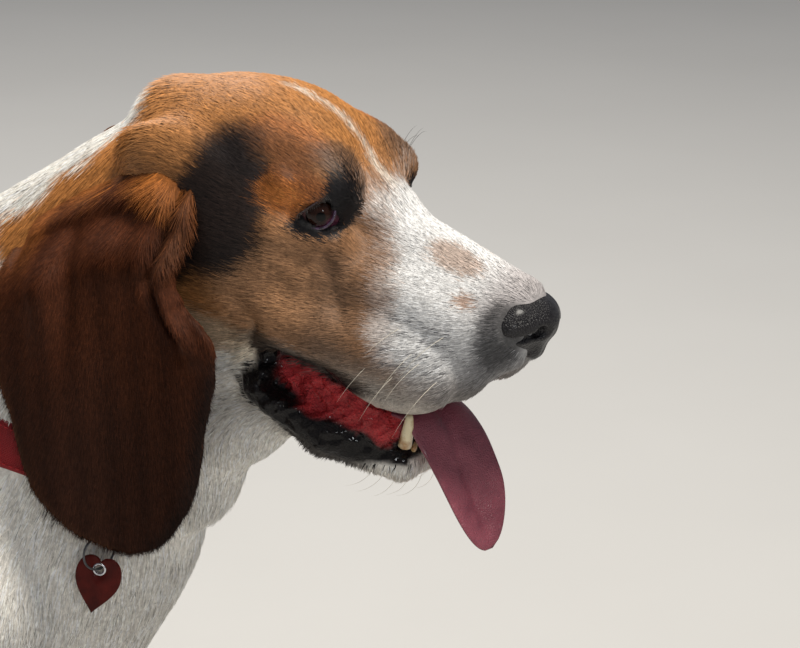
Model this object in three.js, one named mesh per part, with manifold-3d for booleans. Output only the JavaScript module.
// A basset hound standing still, life size, its head level, its mouth open and its tongue out.
// Millimetres, +Z up, +X towards the nose, +Y to the dog's left. The floor is Z 0.
// The flesh is one rounded form, blended from limbs and masses at named landmarks, and parted by thin cuts.
import * as THREE from "three";
import { mergeVertices } from "three/addons/utils/BufferGeometryUtils.js";
import Module from "manifold-3d";

const wasm = await Module();
wasm.setup();

// Driving dimensions
const HEAD_LENGTH = 250; // back of the skull to the tip of the nose
const HEAD_PITCH = 11; // degrees that the head points down
const NOSE_TIP = [430, 0, 400];
const GAP = 0.3; // between two pieces that touch
const EYE_RADIUS = 11.5;
const EYE_CENTRE = [119, 34, 22]; // in the head's own frame
const EAR_THICKNESS = 6.5;
const TAIL_ROOT_RADIUS = 24;
const COLLAR_WIDTH = 24;
const COLLAR_THICKNESS = 3;
const TONGUE_WIDTH = 44;
const TONGUE_THICKNESS = 9;
const TONGUE_TWIST = 22; // degrees that its hanging end turns to the dog's right
const TONGUE_LEAN = 4; // that its hanging end shifts to the right
const TAG_WIDTH = 26;
const TAG_THICKNESS = 1.6;
const TAG_HOLE = 27; // from its point up to the middle of its hole
const TAG_TILT = 12; // degrees that its point swings back
const RING_WIRE = 0.8;

const RAD = Math.PI / 180;
const FAR = 1000;

// Rounded forms as distance fields: below 0 inside, about the distance in millimetres outside
const smoothMin = (a, b, k) => {
  const h = Math.max(k - Math.abs(a - b), 0) / k;
  return Math.min(a, b) - (h * h * k) / 4;
};
const smoothMax = (a, b, k) => -smoothMin(-a, -b, k);
const smoothstep = THREE.MathUtils.smoothstep;

// A limb tapers from radius ra at a to rb at b. wide stretches its section across the body.
const limb =
  (a, b, ra, rb, wide = 1) =>
  (x, y, z) => {
    const [ux, uy, uz] = [b[0] - a[0], (b[1] - a[1]) / wide, b[2] - a[2]];
    const [px, py, pz] = [x - a[0], (y - a[1]) / wide, z - a[2]];
    const t = Math.min(
      1,
      Math.max(0, (px * ux + py * uy + pz * uz) / (ux * ux + uy * uy + uz * uz)),
    );
    const d = Math.hypot(px - ux * t, py - uy * t, pz - uz * t);
    return (d - ra - (rb - ra) * t) * Math.min(1, wide);
  };

// A mass is an ellipsoid with three radii, turned nose-down by pitch and outward by yaw, in degrees.
const mass = (c, r, pitch = 0, yaw = 0) => {
  const [cp, sp, cy, sy] = [
    Math.cos(pitch * RAD),
    Math.sin(pitch * RAD),
    Math.cos(yaw * RAD),
    Math.sin(yaw * RAD),
  ];
  return (x, y, z) => {
    const [dx, dy, dz] = [x - c[0], y - c[1], z - c[2]];
    const fx = dx * cy + dy * sy;
    const px = (fx * cp - dz * sp) / r[0];
    const py = (dy * cy - dx * sy) / r[1];
    const pz = (fx * sp + dz * cp) / r[2];
    const near = Math.hypot(px, py, pz);
    const steep = Math.hypot(px / r[0], py / r[1], pz / r[2]);
    return steep > 1e-9 ? (near * (near - 1)) / steep : -Math.min(...r);
  };
};

// A feature is a form with the width of its blend; cut takes it away from what came before.
const add = (form, blend) => ({ form, blend, cut: false });
const cut = (form, blend) => ({ form, blend, cut: true });
const pair = (form, blend) => add((x, y, z) => smoothMin(form(x, y, z), form(x, -y, z), 6), blend);
const cutPair = (form, blend) => ({ ...pair(form, blend), cut: true });
const join = (features) => (x, y, z) => {
  let d = FAR;
  for (const f of features)
    d = f.cut ? smoothMax(d, -f.form(x, y, z), f.blend) : smoothMin(d, f.form(x, y, z), f.blend);
  return d;
};

// The head's own frame: X 0 is the back of the skull, the tip of the nose is at [HEAD_LENGTH, 0, 0]
const [COS, SIN] = [Math.cos(HEAD_PITCH * RAD), Math.sin(HEAD_PITCH * RAD)];
const fromHead = ([x, y, z]) => [
  NOSE_TIP[0] + (x - HEAD_LENGTH) * COS + z * SIN,
  y,
  NOSE_TIP[2] - (x - HEAD_LENGTH) * SIN + z * COS,
];
const inHead = (form) => (x, y, z) => {
  const [dx, dz] = [x - NOSE_TIP[0], z - NOSE_TIP[2]];
  return form(HEAD_LENGTH + dx * COS - dz * SIN, y, dx * SIN + dz * COS);
};

// Torso
const torsoFeatures = [
  add(mass([-45, 0, 234], [200, 92, 122]), 1),
  add(limb([-60, 0, 276], [-310, 0, 274], 80, 74), 30),
  add(limb([-60, 0, 214], [-280, 0, 236], 92, 74), 30),
  add(mass([98, 0, 192], [70, 66, 80], 12), 30),
  add(mass([136, 0, 250], [62, 62, 84]), 20),
  add(mass([16, 0, 314], [84, 46, 48], 8), 30),
  pair(mass([62, 56, 238], [62, 34, 102], -24), 24),
  add(mass([-345, 0, 262], [94, 78, 84], -6), 30),
];

// Legs. Each is a list of [from, to, radius, radius, width of the section]; side is 1 on the left.
const foreleg = (side, step) => {
  const shoulder = [98 + step / 2, side * 68, 196];
  const elbow = [52 + step, side * 76, 150];
  const wrist = [70 + step, side * 66, 62];
  const paw = [88 + step, side * 72, 22];
  return [
    add(limb(shoulder, elbow, 42, 37), 24),
    add(limb(elbow, wrist, 32, 23), 16),
    add(mass([wrist[0] - 4, wrist[1], wrist[2] + 4], [25, 25, 19]), 8),
    add(limb(wrist, paw, 23, 24), 10),
  ];
};
const hindleg = (side, step) => {
  const hip = [-338 + step / 2, side * 54, 236];
  const knee = [-290 + step, side * 76, 158];
  const hock = [-394 + step, side * 68, 94];
  const heel = [-384 + step, side * 69, 34];
  return [
    add(limb(hip, knee, 74, 44, 0.72), 26),
    add(limb(knee, hock, 44, 23, 0.88), 18),
    add(mass([hock[0] - 5, hock[1], hock[2] + 2], [23, 20, 26], 20), 8),
    add(limb(hock, heel, 22, 22), 8),
  ];
};

// A paw has a broad sole, four arched toes and a pad of flesh that the floor flattens.
const TOE_SPREAD = [-25, -9, 9, 25];
const toeCentres = ([x, y], turn, reach, size) =>
  TOE_SPREAD.map((spread, i) => {
    const across = spread * size;
    const forward = reach - (i === 0 || i === 3 ? 10 : 0);
    return [
      x + forward * Math.cos(turn) - across * Math.sin(turn),
      y + forward * Math.sin(turn) + across * Math.cos(turn),
      17 * size,
    ];
  });
const pawForm = (centre, turn, size) => {
  const yaw = turn / RAD;
  return [
    add(mass([centre[0], centre[1], 24 * size], [38 * size, 33 * size, 25 * size], 8, yaw), 10),
    ...toeCentres(centre, turn, 24 * size, size).map((c) =>
      add(mass(c, [21 * size, 11.5 * size, 18 * size], 16, yaw), 5),
    ),
  ];
};

// Where each leg stands: a short stride apart, forepaws turned out a little as the breed's are
const STANCE = {
  fore: { left: 10, right: -8 },
  hind: { left: -14, right: 12 },
};
const TURN_OUT = { fore: 12 * RAD, hind: 4 * RAD };
const PAW_SIZE = { fore: 1, hind: 0.86 };
const SIDES = { left: 1, right: -1 };
const pawCentre = (end, name) => {
  const side = SIDES[name];
  return end === "fore"
    ? [92 + STANCE.fore[name], side * 74, 0]
    : [-362 + STANCE.hind[name], side * 72, 0];
};
const legFeatures = Object.keys(SIDES).flatMap((name) => [
  ...foreleg(SIDES[name], STANCE.fore[name]),
  ...hindleg(SIDES[name], STANCE.hind[name]),
]);
const pawFeatures = ["fore", "hind"].flatMap((end) =>
  Object.keys(SIDES).flatMap((name) =>
    pawForm(pawCentre(end, name), SIDES[name] * TURN_OUT[end], PAW_SIZE[end]),
  ),
);

// Neck, with the loose skin of the throat
const neckFeatures = [
  add(limb([62, 0, 282], [190, 0, 398], 90, 68, 0.86), 30),
  add(mass([194, 0, 296], [40, 34, 56]), 10),
  add(mass([228, 0, 314], [33, 30, 30]), 12),
  add(limb([30, 0, 340], [172, 0, 430], 46, 42), 24),
];

// Tail, carried up in a curve
const tailLine = [
  [-418, 0, 316],
  [-462, 0, 332],
  [-502, 0, 368],
  [-528, 0, 418],
  [-538, 0, 474],
];
const tailRadius = (i) => TAIL_ROOT_RADIUS - i * 3.6;
const tailFeatures = tailLine
  .slice(1)
  .map((to, i) => add(limb(tailLine[i], to, tailRadius(i), tailRadius(i + 1)), i ? 6 : 16));

// Head, all in its own frame
const skull = [
  add(mass([54, 0, 19], [67, 54, 50], -3), 1),
  add(mass([4, 0, 34], [22, 20, 20]), 16),
  add(mass([84, 0, 34], [46, 42, 32], 4), 16),
  pair(mass([112, 26, 36], [25, 17, 19], 12), 12),
  add(mass([122, 0, 22], [34, 26, 20], 10), 10),
  pair(mass([70, 38, -12], [48, 25, 42]), 16),
  pair(mass([30, 46, 26], [34, 11, 18]), 12),
];
const muzzle = [
  add(limb([112, 0, 10], [224, 0, -5], 25, 17), 14),
  pair(limb([122, 22, -14], [222, 12, -16], 25, 17), 12),
  pair(mass([184, 24, -35], [44, 15, 30]), 10),
  pair(limb([112, 38, -40], [172, 33, -42], 19, 18), 12),
  pair(mass([222, 8, -19], [14, 12, 14]), 6),
  pair(limb([200, 22, -48], [230, 10, -27], 14, 9), 8),
];
const jaw = [
  pair(mass([66, 34, -52], [38, 24, 42], 10), 16),
  add(limb([62, 0, -84], [176, 0, -106], 34, 15, 1.1), 14),
  pair(limb([104, 38, -84], [142, 30, -100], 12, 12), 8),
  pair(limb([142, 30, -100], [180, 11, -110], 12, 10), 6),
];
const MOUTH_CORNER = [108, 0, -79];
const MOUTH_FRONT = [222, 0, -77];
const mouthGap = (x, y, z) => limb([112, 0, -79], [222, 0, -76], 4, 19)(x, 0, z);
const mouth = [
  cut(mouthGap, 4),
  cut(mass([158, 0, -77], [50, 27, 19]), 5),
];
const eyeSockets = [
  cutPair(mass([127, 48, 21], [12, 7, 10], 8, 25), 8),
  pair(limb([102, 43, 33], [128, 31, 36], 7, 6), 10),
  pair(limb([104, 46, 6], [134, 35, 5], 8, 8), 10),
];
const headForm = inHead(join([...skull, ...muzzle, ...jaw, ...mouth, ...eyeSockets]));

// The whole of the flesh without ears, eyes, nose and tongue
const bodyForm = join([
  ...torsoFeatures,
  ...legFeatures,
  ...pawFeatures,
  ...neckFeatures,
  ...tailFeatures,
]);
const fleshForm = (x, y, z) => smoothMin(bodyForm(x, y, z), headForm(x, y, z), 22);

// True where the marked corners of a cell reach each other along its edges
const linked = (mask) => {
  let seen = mask & -mask;
  for (let round = 0; round < 4; round++)
    for (let c = 0; c < 8; c++)
      if (seen & (1 << c)) seen |= mask & ((1 << (c ^ 1)) | (1 << (c ^ 2)) | (1 << (c ^ 4)));
  return seen === mask;
};
const whole = Array.from({ length: 256 }, (_, mask) => linked(mask) && linked(255 - mask));

// Evenly spaced stations along one axis, and the same for stretches of different spacing
const rows = (from, ...stretches) =>
  stretches.reduce(
    (list, [to, step]) => {
      const start = list.at(-1);
      const count = Math.max(1, Math.round(Math.abs(to - start) / step));
      for (let i = 1; i <= count; i++) list.push(start + ((to - start) * i) / count);
      return list;
    },
    [from],
  );

// Surface of a form within the stations xs, ys, zs, as a patch around each crossing of their grid
const skinOf = (form, xs, ys, zs) => {
  const [nx, ny, nz] = [xs.length, ys.length, zs.length];
  const at = (i, j, k) => (k * ny + j) * nx + i;
  const values = new Float64Array(nx * ny * nz);
  for (let k = 0; k < nz; k++)
    for (let j = 0; j < ny; j++)
      for (let i = 0; i < nx; i++) {
        const edge =
          i === 0 || j === 0 || k === 0 || i === nx - 1 || j === ny - 1 || k === nz - 1;
        const d = form(xs[i], ys[j], zs[k]);
        values[at(i, j, k)] = edge ? Math.max(d, 2) : d || 1e-6;
      }
  const corners = [0, 1, 2, 3, 4, 5, 6, 7].map((n) => [n & 1, (n >> 1) & 1, (n >> 2) & 1]);
  // Where two folds meet only across a cell, its outer corners are filled until they join
  for (let filled = true; filled; ) {
    filled = false;
    for (let k = 1; k < nz - 2; k++)
      for (let j = 1; j < ny - 2; j++)
        for (let i = 1; i < nx - 2; i++) {
          const around = corners.map((c) => at(i + c[0], j + c[1], k + c[2]));
          const mask = around.reduce((m, n, c) => (values[n] < 0 ? m | (1 << c) : m), 0);
          if (whole[mask]) continue;
          const outer = around.filter((n) => values[n] >= 0);
          values[outer.reduce((a, b) => (values[b] < values[a] ? b : a))] = -1e-3;
          filled = true;
        }
  }
  const edges = corners.flatMap((a, m) =>
    corners
      .slice(m + 1)
      .filter((b) => Math.abs(a[0] - b[0]) + Math.abs(a[1] - b[1]) + Math.abs(a[2] - b[2]) === 1)
      .map((b) => [a, b]),
  );
  const vertexOf = new Map();
  const positions = [];
  for (let k = 0; k < nz - 1; k++)
    for (let j = 0; j < ny - 1; j++)
      for (let i = 0; i < nx - 1; i++) {
        let crossings = 0;
        const sum = [0, 0, 0];
        for (const [a, b] of edges) {
          const va = values[at(i + a[0], j + a[1], k + a[2])];
          const vb = values[at(i + b[0], j + b[1], k + b[2])];
          if (va < 0 === vb < 0) continue;
          const t = va / (va - vb);
          crossings++;
          for (let n = 0; n < 3; n++) sum[n] += a[n] + (b[n] - a[n]) * t;
        }
        if (!crossings) continue;
        const start = [xs[i], ys[j], zs[k]];
        const cell = [xs[i + 1] - xs[i], ys[j + 1] - ys[j], zs[k + 1] - zs[k]];
        const p = sum.map((v, n) => start[n] + (v / crossings) * cell[n]);
        const inside = i > 0 && j > 0 && k > 0 && i < nx - 2 && j < ny - 2 && k < nz - 2;
        if (inside) settle(form, p, start, cell);
        vertexOf.set(at(i, j, k), positions.length / 3);
        positions.push(...p);
      }
  const triangles = [];
  const patch = (a, b, c, d, flip) => {
    const q = (flip ? [a, d, c, b] : [a, b, c, d]).map((v) => vertexOf.get(v));
    const far = (m, n) =>
      [0, 1, 2].reduce((s, w) => s + (positions[3 * m + w] - positions[3 * n + w]) ** 2, 0);
    if (far(q[0], q[2]) < far(q[1], q[3])) triangles.push(q[0], q[1], q[2], q[0], q[2], q[3]);
    else triangles.push(q[0], q[1], q[3], q[1], q[2], q[3]);
  };
  for (let k = 0; k < nz - 1; k++)
    for (let j = 0; j < ny - 1; j++)
      for (let i = 0; i < nx - 1; i++) {
        const here = values[at(i, j, k)] < 0;
        if (j && k && here !== values[at(i + 1, j, k)] < 0)
          patch(at(i, j - 1, k - 1), at(i, j, k - 1), at(i, j, k), at(i, j - 1, k), !here);
        if (i && k && here !== values[at(i, j + 1, k)] < 0)
          patch(at(i - 1, j, k - 1), at(i - 1, j, k), at(i, j, k), at(i, j, k - 1), !here);
        if (i && j && here !== values[at(i, j, k + 1)] < 0)
          patch(at(i - 1, j - 1, k), at(i, j - 1, k), at(i, j, k), at(i - 1, j, k), !here);
      }
  return new wasm.Manifold(
    new wasm.Mesh({
      numProp: 3,
      vertProperties: new Float32Array(positions),
      triVerts: new Uint32Array(triangles),
    }),
  );
};

// Moves a point along the form's slope until it lies on the surface, kept near its own cell
const settle = (form, p, start, cell) => {
  const e = 0.2;
  for (let step = 0; step < 3; step++) {
    const d = form(...p);
    const slope = [0, 1, 2].map((n) => {
      const q = [...p];
      q[n] += e;
      return (form(...q) - d) / e;
    });
    const steep = slope[0] ** 2 + slope[1] ** 2 + slope[2] ** 2;
    if (steep < 0.05) return;
    for (let n = 0; n < 3; n++) {
      const moved = p[n] - (d * slope[n]) / steep;
      p[n] = Math.min(start[n] + 1.1 * cell[n], Math.max(start[n] - 0.1 * cell[n], moved));
    }
  }
};

// Solids from three.js geometry, and back
const solidOf = (geometry, matrix = new THREE.Matrix4()) => {
  const g = new THREE.BufferGeometry().setAttribute(
    "position",
    (geometry.index ? geometry.toNonIndexed() : geometry).getAttribute("position").clone(),
  );
  g.applyMatrix4(matrix);
  const merged = mergeVertices(g, 1e-3);
  const keep = [];
  for (let i = 0; i < merged.index.count; i += 3) {
    const [a, b, c] = [0, 1, 2].map((n) => merged.index.getX(i + n));
    if (a === b || b === c || c === a) continue;
    if (matrix.determinant() < 0) keep.push(a, c, b);
    else keep.push(a, b, c);
  }
  return new wasm.Manifold(
    new wasm.Mesh({
      numProp: 3,
      vertProperties: merged.attributes.position.array,
      triVerts: new Uint32Array(keep),
    }),
  );
};
const meshOf = (solid, name, material) => {
  const m = solid.getMesh();
  const positions = new Float32Array(m.numVert * 3);
  for (let i = 0; i < m.numVert; i++)
    positions.set(m.vertProperties.subarray(i * m.numProp, i * m.numProp + 3), i * 3);
  const geometry = new THREE.BufferGeometry()
    .setAttribute("position", new THREE.BufferAttribute(positions, 3))
    .setIndex(new THREE.BufferAttribute(m.triVerts, 1));
  geometry.computeVertexNormals();
  const mesh = new THREE.Mesh(geometry, material);
  mesh.name = name;
  return mesh;
};
const largest = (solid) =>
  solid.decompose().reduce((a, b) => (b.volume() > a.volume() ? b : a));

// The half of space behind a plane, as a block: normal points out of the half that is kept
const behind = (point, normal, shift = 0) => {
  const n = new THREE.Vector3(...normal).normalize();
  const turn = new THREE.Quaternion().setFromUnitVectors(new THREE.Vector3(0, 0, 1), n);
  const centre = new THREE.Vector3(...point).addScaledVector(n, shift - FAR);
  const matrix = new THREE.Matrix4().compose(centre, turn, new THREE.Vector3(1, 1, 1));
  return solidOf(new THREE.BoxGeometry(4 * FAR, 4 * FAR, 2 * FAR), matrix);
};
const minus = (v) => v.map((n) => -n);

// The cuts between the parts of the body, each a point and the way that it faces
const cuts = {
  nape: { point: [212, 0, 380], normal: [0.9, 0, 0.435] },
  neckBase: { point: [100, 0, 310], normal: [0.735, 0, 0.677] },
  tailRoot: { point: [-436, 0, 322], normal: [-0.94, 0, 0.34] },
  shoulder: { point: [0, 40, 108], normal: [0, 0.75, -0.66] },
  hip: { point: [0, 24, 160], normal: [0, 0.73, -0.684] },
  flank: { point: [-236, 0, 0], normal: [-1, 0, 0] },
  wrist: { point: [0, 0, 50], normal: [0, 0, -1] },
};
const inFront = ({ point, normal }) => behind(point, minus(normal), -GAP / 2);
const back = ({ point, normal }) => behind(point, normal, -GAP / 2);
const mirrored = ({ point, normal }) => ({
  point: [point[0], -point[1], point[2]],
  normal: [normal[0], -normal[1], normal[2]],
});
const allOf = (first, ...others) => others.reduce((a, b) => a.intersect(b), first);

// Flat soles on the floor
const floor = behind([0, 0, 0], [0, 0, -1]);

// Eyes
const eyeCentre = (side) => {
  const [x, y, z] = EYE_CENTRE;
  return fromHead([x, side * y, z]);
};
const eyeball = (side, grow = 0) =>
  solidOf(
    new THREE.SphereGeometry(EYE_RADIUS + grow, 14, 9),
    new THREE.Matrix4().makeTranslation(...eyeCentre(side)),
  );

// Lids: a shell around the eye with a half-moon opening, its lower edge sagging as the breed's does
const LID = { outer: 3.2, reach: 19, halfWidth: 11.5, upper: 3.2, sag: 9.5 };
const LOOK = new THREE.Vector3(0.5, 0.86, -0.02).normalize();
const ACROSS = new THREE.Vector3(0.86, -0.5, 0.3).normalize();
const UP = new THREE.Vector3().crossVectors(ACROSS, LOOK).negate().normalize();
const lidForm = inHead((x, y, z) => {
  const d = new THREE.Vector3(x - EYE_CENTRE[0], Math.abs(y) - EYE_CENTRE[1], z - EYE_CENTRE[2]);
  const from = d.length() - EYE_RADIUS;
  const ball = from - LID.outer;
  const [u, v, w] = [d.dot(ACROSS), d.dot(UP), d.dot(LOOK)];
  const across = Math.min(1, Math.abs(u) / LID.halfWidth);
  const droop = Math.sqrt(1 - across * across);
  const opening = Math.min(LID.upper - v, v + LID.sag * droop, LID.halfWidth - Math.abs(u));
  return smoothMax(smoothMax(ball, w > 0 ? opening : -4, 1), -w - 1, 1);
});
const lids = (side) => {
  return skinOf(lidForm, ...eyeCentre(side).map((v) => rows(v - LID.reach, [v + LID.reach, 4])));
};

// Nose leather with its nostrils
const noseLeather = [
  add(mass([236, 0, -8], [14, 16, 12], 24), 1),
  pair(mass([231, 13, -9], [13, 9, 11], 14), 5),
  pair(limb([232, 18, -11], [222, 21, -11], 7, 4), 5),
  add(mass([236.5, 0, -19], [7.5, 9, 12], -24), 6),
  pair(limb([234, 11, -18], [231, 15, -24], 6, 4), 5),
];
const nostrils = [
  cutPair(limb([253, 8, -11], [238, 10, -11], 4.4, 3), 2),
  cutPair(limb([246, 12, -13], [230, 25, -16], 2.6, 1.8), 2),
  cut(limb([251, 0, -12], [243, 0, -32], 1.4, 1.2), 2),
];
const noseForm = inHead(join([...noseLeather, ...nostrils]));
const nosePlain = inHead(join(noseLeather));
const noseRows = [rows(386, [446, 5]), rows(-26, [26, 4.4]), rows(360, [428, 5])];

// Ears: a wide sheet of leather whose outline is a drop, hung from the side of the skull
const earOutline = (x, z) => {
  const disc = (cx, cz, r) => Math.hypot(x - cx, z - cz) - r;
  const root = limb([208, 0, 444], [196, 0, 410], 30, 60)(x, 0, z);
  const upper = smoothMin(root, disc(192, 368, 78), 10);
  const tip = smoothMin(disc(197, 319, 64), disc(203, 297, 46), 10);
  const frontCurve = -disc(284, 422, 40); // the front edge curves in under the root
  return smoothMax(smoothMin(upper, tip, 12), frontCurve, 8);
};
const EAR_TOP = 480;
const EAR_ROOT = [212, 0, 450];
const EAR_SWING = { "-1": 0, 1: 20 }; // degrees back from the right ear's own hang
const hill = (x, middle, width) => Math.exp(-(((x - middle) / width) ** 2));
const earSide = (x, z) => {
  const drop = Math.min(1, Math.max(0, (EAR_TOP - z) / 200));
  const out = 38 + 43 * Math.sin(Math.min(1, drop * 3.2) * Math.PI * 0.5);
  const wrap = -7 * Math.max(0, (190 - x) / 70) ** 2;
  const cup = (1 - drop) * (8 * hill(x, 243, 8) - 8 * hill(x, 229, 8));
  const waves = 3.2 * Math.sin((x - 150) / 15 + drop * 1.5) * drop;
  return out + wrap + cup + waves;
};
const earThickness = (z) => EAR_THICKNESS * (1 + 1.3 * Math.max(0, (z - 400) / 80) ** 2);
const earCentre = [205, 372];
const earReach = (angle) => {
  let r = 10;
  for (let step = 0; step < 60; step++) {
    const d = earOutline(earCentre[0] + r * Math.cos(angle), earCentre[1] + r * Math.sin(angle));
    r -= d * 0.8;
  }
  return r;
};
const ear = (side) => {
  const geometry = new THREE.SphereGeometry(1, 24, 10);
  const position = geometry.getAttribute("position");
  for (let i = 0; i < position.count; i++) {
    const [px, py, pz] = [position.getX(i), position.getY(i), position.getZ(i)];
    const angle = Math.atan2(pz, px);
    const lean = Math.acos(Math.min(1, Math.abs(py)));
    const share = Math.min(1, lean / (Math.PI / 2));
    const rim = Math.sin(share * Math.PI * 0.5) ** 0.8;
    const reach = earReach(angle) * (share < 1e-6 ? 0 : share * 0.5 + rim * 0.5);
    const x = earCentre[0] + reach * Math.cos(angle);
    const z = earCentre[1] + reach * Math.sin(angle);
    const edge = share < 0.999 ? (1 - share ** 6) ** 0.5 : 0;
    const thick = earThickness(z) * edge * Math.sign(py);
    position.setXYZ(i, x, earSide(x, z) + thick / 2, z);
  }
  const pose = new THREE.Matrix4()
    .makeTranslation(...EAR_ROOT)
    .multiply(new THREE.Matrix4().makeRotationY(EAR_SWING[side] * RAD))
    .multiply(new THREE.Matrix4().makeTranslation(...minus(EAR_ROOT)))
    .multiply(new THREE.Matrix4().makeScale(1, side, 1));
  return solidOf(geometry, pose);
};

// Tongue: over the floor of the mouth, between the canines, and down in front of the chin
const tongueLine = new THREE.CatmullRomCurve3(
  [
    [116, -93],
    [142, -88],
    [168, -80],
    [189, -77],
    [202, -88],
    [215, -108],
    [228, -125],
    [240, -139],
  ].map(([x, z]) => new THREE.Vector3(...fromHead([x, 0, z]))),
);
const tongue = (grow) => {
  const geometry = new THREE.SphereGeometry(1, 12, 16);
  const position = geometry.getAttribute("position");
  for (let i = 0; i < position.count; i++) {
    const [px, py, pz] = [position.getX(i), position.getY(i), position.getZ(i)];
    const t = Math.acos(Math.max(-1, Math.min(1, py))) / Math.PI;
    const angle = Math.atan2(pz, px);
    const end = Math.sqrt(Math.max(0, 1 - Math.abs(2 * t - 1) ** 5));
    const middle = tongueLine.getPointAt(t);
    const along = tongueLine.getTangentAt(t);
    const up = new THREE.Vector3(0, 1, 0).cross(along).negate().normalize();
    const half = (TONGUE_WIDTH / 2) * (0.82 + 0.18 * Math.sin(t * Math.PI)) * end + grow * end;
    const aside = (half * Math.cos(angle)) / 4;
    const groove = Math.sin(angle) > 0 ? 1.6 * Math.exp(-aside * aside) : 0;
    const high = (TONGUE_THICKNESS / 2) * (1.25 - 0.6 * t) * end + grow * end;
    middle.addScaledVector(up, high * Math.sin(angle) - groove * end);
    const hanging = smoothstep(t, 0.4, 0.62);
    const turn = TONGUE_TWIST * RAD * hanging;
    const across = half * Math.cos(angle);
    const y = across * Math.cos(turn) - TONGUE_LEAN * hanging;
    position.setXYZ(i, middle.x + across * Math.sin(turn), y, middle.z);
  }
  return solidOf(geometry);
};

// A tooth or a claw: a cone with a bend, its root sunk in the flesh
const spike = (root, tip, radius, bend = [0, 0, 0], around = 7) => {
  const geometry = new THREE.SphereGeometry(1, around, 5);
  const position = geometry.getAttribute("position");
  const [a, b] = [new THREE.Vector3(...root), new THREE.Vector3(...tip)];
  const axis = b.clone().sub(a).normalize();
  const turn = new THREE.Quaternion().setFromUnitVectors(new THREE.Vector3(0, 1, 0), axis);
  for (let i = 0; i < position.count; i++) {
    const v = new THREE.Vector3().fromBufferAttribute(position, i);
    const t = (v.y + 1) / 2;
    const wide = radius * (1 - t) ** 0.6;
    const round = Math.hypot(v.x, v.z) || 1;
    v.set((v.x / round) * wide * (t > 0), 0, (v.z / round) * wide * (t > 0));
    v.applyQuaternion(turn).add(a).addScaledVector(b.clone().sub(a), t);
    v.add(new THREE.Vector3(...bend).multiplyScalar(4 * t * (1 - t)));
    position.setXYZ(i, v.x, v.y, v.z);
  }
  return solidOf(geometry);
};

// Collar: a band that lies in the coat, its outer face almost level with it
const COLLAR = { centre: [128, 0, 313], normal: [0.4, -0.25, 0.88], depth: 0.8 };
const collarRows = [rows(10, [250, 20]), rows(-100, [100, 18]), rows(226, [400, 20])];
const collarSlab = (extra) =>
  behind(COLLAR.centre, COLLAR.normal, COLLAR_WIDTH / 2 + extra).intersect(
    behind(COLLAR.centre, minus(COLLAR.normal), COLLAR_WIDTH / 2 + extra),
  );
const grown = (size, stations) => skinOf((x, y, z) => fleshForm(x, y, z) - size, ...stations);
const underCollar = -COLLAR.depth - COLLAR_THICKNESS;
const collarBand = grown(-COLLAR.depth, collarRows)
  .intersect(collarSlab(0))
  .subtract(grown(underCollar, collarRows));
const collarSeat = collarSlab(GAP)
  .intersect(behind([0, 0, 400], [0, 0, 1]))
  .subtract(grown(underCollar - 5 * GAP, collarRows));

// Where the flesh, grown by a distance, is met on the way out from the neck's middle
const surfaceAt = (from, way, size) => {
  let far = 20;
  for (let step = 0; step < 60; step++)
    far -= 0.7 * (fleshForm(...from.map((v, n) => v + way[n] * far)) - size);
  return from.map((v, n) => v + way[n] * far);
};

const skinTone = (colour, roughness = 0.8) =>
  new THREE.MeshStandardMaterial({ color: colour, roughness, metalness: 0 });
const materials = {
  coat: skinTone(0xe8e0d4),
  tan: skinTone(0xa8642e),
  earCoat: skinTone(0x4a2415),
  nose: skinTone(0x14110f, 0.35),
  tongue: skinTone(0x9a4a55, 0.4),
  eye: skinTone(0x2a140a, 0.05),
  collar: skinTone(0xb01018, 0.7),
  tag: new THREE.MeshStandardMaterial({ color: 0x6e0f10, roughness: 0.3, metalness: 0.6 }),
  ring: new THREE.MeshStandardMaterial({ color: 0xc8c8c8, roughness: 0.25, metalness: 1 }),
};

const dog = new THREE.Group();
const put = (solid, name, material) => dog.add(meshOf(largest(solid), name, material));

// Head and jaw, with the lower teeth standing in the jaw
const headSkin = skinOf(
  fleshForm,
  rows(166, [250, 14], [446, 9.8]),
  rows(-75, [75, 8.8]),
  rows(256, [516, 9.8]),
);
const mouthSlope = [fromHead(MOUTH_CORNER), fromHead(MOUTH_FRONT)];
const jawTop = {
  point: mouthSlope[0],
  normal: [mouthSlope[0][2] - mouthSlope[1][2], 0, mouthSlope[1][0] - mouthSlope[0][0]],
};
const jawBack = { point: mouthSlope[0], normal: [0.94, 0, -0.34] };
const jawRoom = (shift) =>
  behind(jawTop.point, jawTop.normal, shift).intersect(
    behind(jawBack.point, minus(jawBack.normal), shift),
  );
const frontHalf = headSkin.intersect(inFront(cuts.nape));
let head = frontHalf.subtract(jawRoom(GAP / 2));
let jawSolid = frontHalf.intersect(jawRoom(-GAP / 2));
for (const side of Object.values(SIDES)) {
  head = head.add(lids(side)).subtract(eyeball(side, GAP));
  jawSolid = jawSolid.add(
    spike(
      fromHead([180, side * 15, -100]),
      fromHead([182, side * 18, -78]),
      3.6,
      [1, side * 1.5, 0],
    ),
  );
}
const nosePlainGrown = (x, y, z) => nosePlain(x, y, z) - 0.6;
put(head.subtract(skinOf(nosePlainGrown, ...noseRows)), "head", materials.tan);
put(skinOf(noseForm, ...noseRows), "nose", materials.nose);
for (const [name, side] of Object.entries(SIDES)) put(eyeball(side), "eye_" + name, materials.eye);
const tongueSolid = tongue(0).subtract(head);
put(tongueSolid, "tongue", materials.tongue);
put(jawSolid.subtract(tongue(0.8)), "jaw", materials.coat);

// Neck and collar
const neckSkin = skinOf(
  fleshForm,
  rows(-10, [300, 19]),
  rows(-110, [110, 18]),
  rows(150, [500, 19]),
);
const neck = allOf(neckSkin, back(cuts.nape), inFront(cuts.neckBase));

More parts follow.
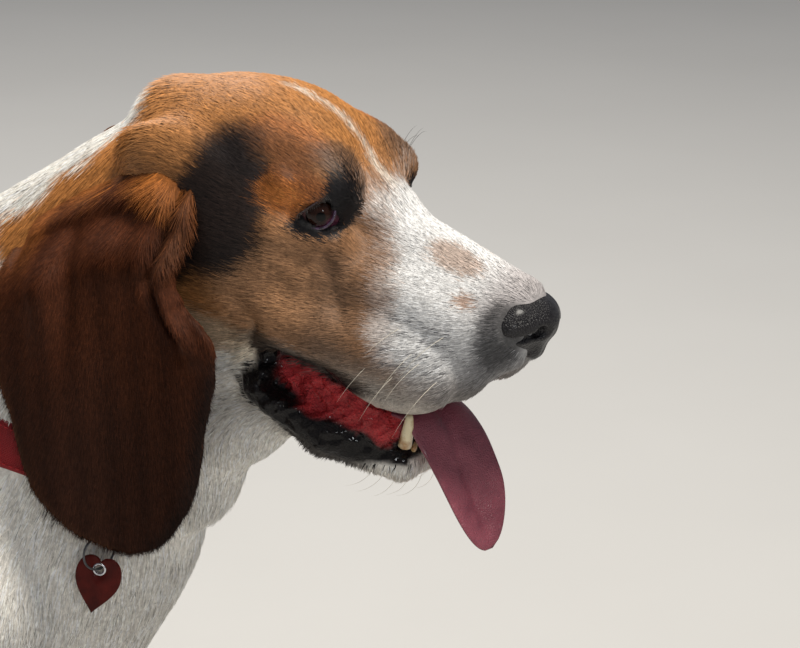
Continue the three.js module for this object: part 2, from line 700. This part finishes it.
// A wire loop under the collar's edge carries a ring, and the ring a tag, on the dog's right
const hang = [Math.cos(-67 * RAD), Math.sin(-67 * RAD), 0];
const collarHeight = (x, y) => {
  const [n, c] = [COLLAR.normal, COLLAR.centre];
  return c[2] - (n[0] * (x - c[0]) + n[1] * (y - c[1])) / n[2];
};
const bandHeight = collarHeight(174, -68);
const hangAt = (drop, size) =>
  new THREE.Vector3(...surfaceAt([150, 0, bandHeight - drop], hang, size));
const between = (a, b) => a.clone().add(b).multiplyScalar(0.5);
const loopEnds = [hangAt(COLLAR_WIDTH / 2 - 2, -COLLAR.depth - 0.5), hangAt(26, 8)];
const ringEnds = [hangAt(23, 9.5), hangAt(43, 9.5)];
const tagUp = new THREE.Vector3(0, 0, 1);
const tagSide = new THREE.Vector3(-hang[1], hang[0], 0);
const tagOut = new THREE.Vector3().crossVectors(tagSide, tagUp).normalize();
const tagFoot = ringEnds[1].clone().addScaledVector(tagUp, -TAG_HOLE);
const tagPose = new THREE.Matrix4()
  .makeBasis(tagSide, tagUp, tagOut)
  .setPosition(tagFoot.addScaledVector(tagOut, -TAG_THICKNESS / 2))
  .multiply(new THREE.Matrix4().makeTranslation(0, TAG_HOLE, 0))
  .multiply(new THREE.Matrix4().makeRotationZ(-TAG_TILT * RAD))
  .multiply(new THREE.Matrix4().makeTranslation(0, -TAG_HOLE, 0));
const lobe = new THREE.Path();
lobe.bezierCurveTo(3, 5, TAG_WIDTH / 2, 13, TAG_WIDTH / 2, 22.5);
lobe.bezierCurveTo(TAG_WIDTH / 2, 36, 2, 36.5, 0, 31);
const rightLobe = lobe.getPoints(12);
const leftLobe = rightLobe.slice(1, -1).map((q) => new THREE.Vector2(-q.x, q.y));
const heart = new THREE.ExtrudeGeometry(new THREE.Shape([...rightLobe, ...leftLobe.reverse()]), {
  depth: TAG_THICKNESS,
  bevelEnabled: false,
});
const hole = new THREE.CylinderGeometry(2.4, 2.4, 6, 12).rotateX(Math.PI / 2).translate(0, TAG_HOLE, 0);
const tagSolid = solidOf(heart, tagPose).subtract(solidOf(hole, tagPose));
put(tagSolid, "tag", materials.tag);

const ringAt = ([top, low], facing, wire) => {
  const up = top.clone().sub(low);
  const out = new THREE.Vector3().crossVectors(up, facing).normalize();
  const flat = new THREE.Vector3().crossVectors(out, up).normalize();
  const pose = new THREE.Matrix4()
    .makeBasis(out, up.clone().normalize(), flat.negate())
    .setPosition(between(top, low));
  return solidOf(new THREE.TorusGeometry(up.length() / 2, wire, 8, 28), pose);
};
const askew = tagSide.clone().add(tagOut).normalize();
put(ringAt(ringEnds, askew, RING_WIRE), "tag_ring", materials.ring);
const loop = ringAt(loopEnds, tagOut, RING_WIRE * 1.4);
put(collarBand.add(loop), "collar", materials.collar);
const collarRoom = collarSeat.add(ringAt(loopEnds, tagOut, RING_WIRE * 1.4 + GAP));
put(neck.subtract(collarRoom), "neck", materials.coat);

// Torso and tail
const torsoSkin = skinOf(
  fleshForm,
  rows(-480, [-220, 24], [-10, 46], [250, 24]),
  rows(-125, [125, 22]),
  rows(90, [400, 22]),
);
const legRooms = Object.values(SIDES).map((side) => {
  const facing = (c) => (side > 0 ? c : mirrored(c));
  const shoulder = (shift) =>
    allOf(
      behind(facing(cuts.shoulder).point, minus(facing(cuts.shoulder).normal), shift),
      behind([0, side * 24, 0], [0, -side, 0], 0),
      behind([-26, 0, 0], [-1, 0, 0], shift),
    );
  const hip = (shift) =>
    allOf(
      behind(facing(cuts.hip).point, minus(facing(cuts.hip).normal), shift),
      behind([0, side * 14, 0], [0, -side, 0], 0),
      behind(cuts.flank.point, minus(cuts.flank.normal), shift),
    );
  return { shoulder, hip };
});
let torso = allOf(torsoSkin, back(cuts.neckBase), back(cuts.tailRoot)).subtract(collarRoom);
for (const rooms of legRooms)
  torso = torso.subtract(rooms.shoulder(GAP / 2)).subtract(rooms.hip(GAP / 2));
put(torso, "torso", materials.coat);
const tailSkin = skinOf(
  fleshForm,
  rows(-566, [-400, 12]),
  rows(-44, [44, 10]),
  rows(276, [520, 16]),
);
put(allOf(tailSkin, inFront(cuts.tailRoot)), "tail", materials.coat);

// Claws, one to a toe
const claws = (end, name) => {
  const turn = SIDES[name] * TURN_OUT[end];
  const ahead = (c, far, z) => [c[0] + far * Math.cos(turn), c[1] + far * Math.sin(turn), z];
  return toeCentres(pawCentre(end, name), turn, 24 * PAW_SIZE[end], PAW_SIZE[end]).map((c) =>
    spike(ahead(c, 12 * PAW_SIZE[end], 12), ahead(c, 27 * PAW_SIZE[end], 4.5), 3.6, [0, 0, 1], 5),
  );
};

// Legs and paws
Object.entries(SIDES).forEach(([name, side], i) => {
  const across = (inner, outer, step) => rows(side > 0 ? inner : -outer, [side > 0 ? outer : -inner, step]);
  const foreSkin = skinOf(
    fleshForm,
    rows(-44, [190, 13]),
    across(20, 130, 11),
    rows(20, [230, 15]),
  );
  put(allOf(foreSkin, legRooms[i].shoulder(-GAP / 2), back(cuts.wrist)), "foreleg_" + name, materials.coat);
  const hindSkin = skinOf(
    fleshForm,
    rows(-480, [-200, 16]),
    across(8, 130, 14),
    rows(20, [270, 16]),
  );
  put(allOf(hindSkin, legRooms[i].hip(-GAP / 2), back(cuts.wrist)), "hindleg_" + name, materials.coat);
  for (const end of ["fore", "hind"]) {
    const [x, y] = pawCentre(end, name);
    const skin = skinOf(
      fleshForm,
      rows(x - 60, [x + 70, 12]),
      rows(y - 50, [y + 50, 8]),
      rows(-20, [68, 12.5]),
    );
    const paw = allOf(skin, inFront(cuts.wrist), floor);
    put(claws(end, name).reduce((a, b) => a.add(b), paw), end + "paw_" + name, materials.coat);
  }
});

// Ears, each trimmed where it lies on the skull and the neck
const earRoom = grown(2, [rows(110, [300, 12]), rows(-110, [110, 11]), rows(230, [520, 12])]);
for (const [name, side] of Object.entries(SIDES))
  put(ear(side).subtract(earRoom), "ear_" + name, materials.earCoat);

// The origin is on the floor, under the middle of the dog's box
const box = new THREE.Box3().setFromObject(dog);
const middle = box.getCenter(new THREE.Vector3());
dog.position.set(-middle.x, -middle.y, -box.min.z);

export default dog;
